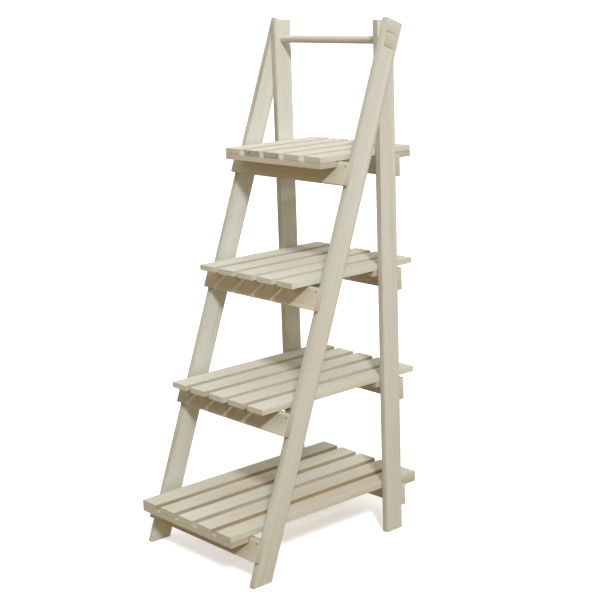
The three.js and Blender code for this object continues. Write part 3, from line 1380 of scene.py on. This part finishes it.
@dataclass
class Shelf:
    """One slatted shelf: five slats on two battens, held by brads driven up from below."""

    number: int
    row: BoardRow
    brads: BradField
    finishes: Finishes
    slats: int = 5
    slat_edge: float = 0.5 * MM
    batten_edge: float = 0.5 * MM
    length_play: float = 0.0012
    bow: float = 0.12 * MM
    pair_across: float = 22.0 * MM
    pair_along: float = 14.0 * MM
    brad_wander: float = 1.6 * MM
    bare_and_shaded_gaps: float = 1.0
    tones: tuple[float, float] = (0.2, 0.8)
    stained: tuple[int, int] = (-1, -1)
    pieces: list[Piece] = field(default_factory=list)

    @property
    def body(self) -> str:
        """The body that the shelf is."""
        return f"shelf_{self.number}"

    def build(self) -> None:
        """Makes the slats, the battens and the brads."""
        slat_nodes = [f"{self.body}_slat_{i}" for i in range(1, self.slats + 1)]
        batten_nodes = [f"{self.body}_batten_front", f"{self.body}_batten_rear"]
        slats = self._row("slats", slat_nodes, lengthwise=1, slot=Slot.SLAT, edge=self.slat_edge)
        battens = self._row(
            "battens", batten_nodes, lengthwise=0, slot=Slot.BATTEN, edge=self.batten_edge
        )
        self.pieces.append(Piece(slats, self.body, Slot.SLAT, slat_nodes))
        self.pieces.append(Piece(battens, self.body, Slot.BATTEN, batten_nodes))
        self.pieces.append(Piece(self._brads(slat_nodes, batten_nodes), self.body, Slot.STEEL))

    def _row(
        self, name: str, nodes: Sequence[str], lengthwise: int, slot: Slot, edge: float
    ) -> bpy.types.Object:
        """Makes the row of boards that stands where some CAD nodes are.

        Args:
            name: What the boards are.
            nodes: The nodes in order.
            lengthwise: The axis that the boards run along, 0 for X and 1 for Y.
            slot: The finish.
            edge: The width of the eased edges.

        Returns:
            The row.
        """
        boxes = [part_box(node) for node in nodes]
        size = boxes[0][1] - boxes[0][0]
        middles = [(low + high) / 2 for low, high in boxes]
        step = (middles[-1] - middles[0]) / (len(middles) - 1)
        stained = self.stained if slot is Slot.SLAT else (-1, -1)
        values: dict[str, Value] = {
            "Count": len(nodes),
            "Length": size[lengthwise],
            "Width": size[1 - lengthwise],
            "Thickness": size.z,
            "First Middle": middles[0],
            "Step": step,
            "Turn": math.pi / 2 * lengthwise,
            "Length Play": self.length_play,
            "Bow": self.bow,
            "Darkest Tone": self.tones[0],
            "Lightest Tone": self.tones[1],
            "Bare And Shaded Gaps": self.bare_and_shaded_gaps if slot is Slot.SLAT else 0.0,
            "First Stained": stained[0],
            "Last Stained": stained[1],
            "Seed": self.number * 10 + lengthwise,
            "Finish": self.finishes[slot],
        }
        return self.row.make(f"{self.body}_{name}", values, edge)

    def _brads(self, slats: Sequence[str], battens: Sequence[str]) -> bpy.types.Object:
        """Makes the brads on the undersides of the battens.

        Args:
            slats: The slats' nodes in order.
            battens: The battens' nodes in order.

        Returns:
            The brads.
        """
        slat_middles = [sum(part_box(node), Vector()) / 2 for node in slats]
        front, rear = (sum(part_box(node), Vector()) / 2 for node in battens)
        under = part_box(battens[0])[0].z
        first = Vector((slat_middles[0].x, front.y, under))
        values: dict[str, Value] = {
            "Crossings": len(slats),
            "First Crossing": first,
            "Crossing Step": (slat_middles[-1] - slat_middles[0]) / (len(slats) - 1),
            "Rows": len(battens),
            "Row Step": rear - front,
            "Pair Spread": Vector((self.pair_across, self.pair_along, 0.0)),
            "Wander": self.brad_wander,
            "Seed": self.number,
            "Finish": self.finishes[Slot.STEEL],
        }
        return self.brads.make(f"{self.body}_brads", values)

    def dress(self, finishes: Finishes) -> None:
        """Dresses the slats, battens and brads.

        Args:
            finishes: The materials.
        """
        for piece in self.pieces:
            piece.dress(finishes)


# ---------------------------------------------------------------- studio


@dataclass
class Studio:
    """A plain pale floor, one soft key light, a soft sky of even fill and the camera."""

    lens: float = 83.14
    sensor: float = 36.0
    azimuth: float = math.radians(48.754)
    elevation: float = math.radians(12.954)
    roll: float = math.radians(-1.94)
    distance: float = 2.985525
    aim_right: float = -0.080166
    aim_up: float = 0.485067
    aim_depth: float = 0.176815
    key_way: Colour = (1.05, -0.66, 1.0)
    key_spread: float = math.radians(7.0)
    key_strength: float = 2.05
    key_colour: Colour = (1.0, 1.0, 1.0)
    zenith: Colour = (1.02, 0.985, 0.92)
    horizon: Colour = (0.455, 0.380, 0.275)
    ground: Colour = (0.40, 0.275, 0.145)
    ground_band: tuple[float, float] = (-0.12, 0.04)
    zenith_band: tuple[float, float] = (0.35, 0.95)
    floor_colour: Colour = (0.86, 0.92, 1.00)
    floor_glow: float = 0.46
    floor_size: float = 600.0
    wall_reach: float = 45.0
    wall_middle: float = 18.0
    wall_sides: int = 96
    wall_glow: float = 1.1

    def build(self) -> None:
        """Sets up the floor, lights and camera."""
        self._floor()
        self._wall()
        self._key()
        self._sky()
        self._camera()
        bpy.context.scene.view_settings.view_transform = "Standard"

    def _floor(self) -> None:
        """Lays a floor that takes shadows, throws no light back and shows only from above."""
        work = bmesh.new()
        bmesh.ops.create_grid(work, x_segments=4, y_segments=4, size=self.floor_size / 2)
        mesh = bpy.data.meshes.new("floor")
        work.to_mesh(mesh)
        work.free()
        made = bpy.data.materials.new("pale_floor")
        made.use_nodes = True
        made.node_tree.nodes.clear()
        bench = Bench(made.node_tree)
        sockets = {
            "Base Color": self.floor_colour,
            "Roughness": 0.9,
            "Specular IOR Level": 0.1,
            "Emission Color": (1.0, 1.0, 1.0),
            "Emission Strength": self.floor_glow,
        }
        top = bench.signal("ShaderNodeBsdfPrincipled", None, sockets)
        below = bench.signal("ShaderNodeNewGeometry", None, None, "Backfacing")
        clear = bench.signal("ShaderNodeBsdfTransparent")
        shown = bench.signal("ShaderNodeMixShader", None, {0: below, 1: top, 2: clear})
        bench.node("ShaderNodeOutputMaterial", None, {"Surface": shown})
        mesh.materials.append(made)
        floor = new_object("floor", mesh)
        floor.visible_diffuse = False
        floor.visible_glossy = False

    def _wall(self) -> None:
        """Stands a white wall all round, far off. It only shows, and neither lights nor shades."""
        work = bmesh.new()
        bmesh.ops.create_cone(
            work,
            segments=self.wall_sides,
            radius1=self.wall_reach,
            radius2=self.wall_reach,
            depth=self.wall_reach,
            matrix=Matrix.Translation((0.0, 0.0, self.wall_middle)),
        )
        bmesh.ops.reverse_faces(work, faces=work.faces)
        mesh = bpy.data.meshes.new("wall")
        work.to_mesh(mesh)
        work.free()
        made = bpy.data.materials.new("white_wall")
        made.use_nodes = True
        shader = made.node_tree.nodes["Principled BSDF"]
        shader.inputs["Base Color"].default_value = (0.0, 0.0, 0.0, 1.0)
        shader.inputs["Specular IOR Level"].default_value = 0.0
        shader.inputs["Emission Color"].default_value = (1.0, 1.0, 1.0, 1.0)
        shader.inputs["Emission Strength"].default_value = self.wall_glow
        mesh.materials.append(made)
        wall = new_object("wall", mesh)
        wall.visible_diffuse = False
        wall.visible_glossy = False
        wall.visible_transmission = False
        wall.visible_shadow = False

    def _key(self) -> None:
        """Adds the key light."""
        lamp = bpy.data.lights.new("key", "SUN")
        lamp.energy = self.key_strength
        lamp.angle = self.key_spread
        lamp.color = self.key_colour
        key = bpy.data.objects.new("key", lamp)
        way = Vector(self.key_way).normalized()
        key.location = way * self.distance
        key.rotation_euler = way.to_track_quat("Z", "Y").to_euler()
        bpy.context.scene.collection.objects.link(key)

    def _sky(self) -> None:
        """Makes the fill: brightest overhead, lower at the sides, dim and warm from below."""
        world = bpy.data.worlds.new("fill")
        world.use_nodes = True
        world.node_tree.nodes.clear()
        bench = Bench(world.node_tree)
        way = bench.signal("ShaderNodeTexCoord", None, None, "Generated")
        height = bench.split(way)[2]
        colour = bench.mix(bench.ease(height, *self.ground_band), self.ground, self.horizon)
        colour = bench.mix(bench.ease(height, *self.zenith_band), colour, self.zenith)
        back = bench.signal("ShaderNodeBackground", None, {"Color": colour, "Strength": 1.0})
        bench.node("ShaderNodeOutputWorld", None, {"Surface": back})
        bpy.context.scene.world = world

    def _camera(self) -> None:
        """Adds the camera."""
        turn, tilt = self.azimuth, self.elevation
        level = math.cos(tilt)
        ahead = Vector((-math.sin(turn) * level, math.cos(turn) * level, -math.sin(tilt)))
        right = Vector((math.cos(turn), math.sin(turn), 0.0))
        up = right.cross(ahead)
        rolled = right * math.cos(self.roll) + up * math.sin(self.roll)
        upright = up * math.cos(self.roll) - right * math.sin(self.roll)
        target = right * self.aim_right + Vector((0.0, self.aim_depth, self.aim_up))
        lens = bpy.data.cameras.new("camera")
        lens.lens = self.lens
        lens.sensor_width = self.sensor
        made = bpy.data.objects.new("camera", lens)
        turned = Matrix((rolled, upright, -ahead)).transposed().to_4x4()
        made.matrix_world = Matrix.Translation(target - ahead * self.distance) @ turned
        bpy.context.scene.collection.objects.link(made)
        bpy.context.scene.camera = made


# From the top rail down. The two lower front rails are drawn darker than the others, as painted shade.
FRONT_RAIL_TONES_AND_SHADE = (0.2, 0.1, -1.2, -0.9)
# From the top shelf down: how unwashed and shaded the gaps' sides are drawn, with the painted shade
# deepening down the stack, and the range of the slats' tones, set darker down the stack as painted
# shade.
SHELF_WOOD_AND_SHADE = (
    (0.28, (0.55, 0.95)),
    (0.40, (0.40, 0.80)),
    (0.62, (0.00, 0.45)),
    (0.95, (-0.50, 0.10)),
)


def main() -> None:
    """Builds the shelf, then the studio."""
    logging.basicConfig(level=logging.INFO, format="%(message)s")
    finishes = Finishes()
    row, brads = BoardRow(), BradField()
    assemblies: list[LegFrame | TopBar | Shelf] = [
        LegFrame("front", "front_frame", rail_tones=FRONT_RAIL_TONES_AND_SHADE, leg_tones=(0.15, 0.25)),
        LegFrame("rear", "rear_frame", seed=23),
        TopBar("front_frame"),
    ]
    for number, (bare_and_shaded_gaps, tones) in enumerate(SHELF_WOOD_AND_SHADE, start=1):
        stained = (1, 2) if number == 1 else (-1, -1)
        shelf = Shelf(
            number, row, brads, finishes, bare_and_shaded_gaps=bare_and_shaded_gaps, tones=tones, stained=stained
        )
        assemblies.append(shelf)
    for assembly in assemblies:
        assembly.build()
        assembly.dress(finishes)
    Studio().build()


if __name__ == "__main__":
    main()
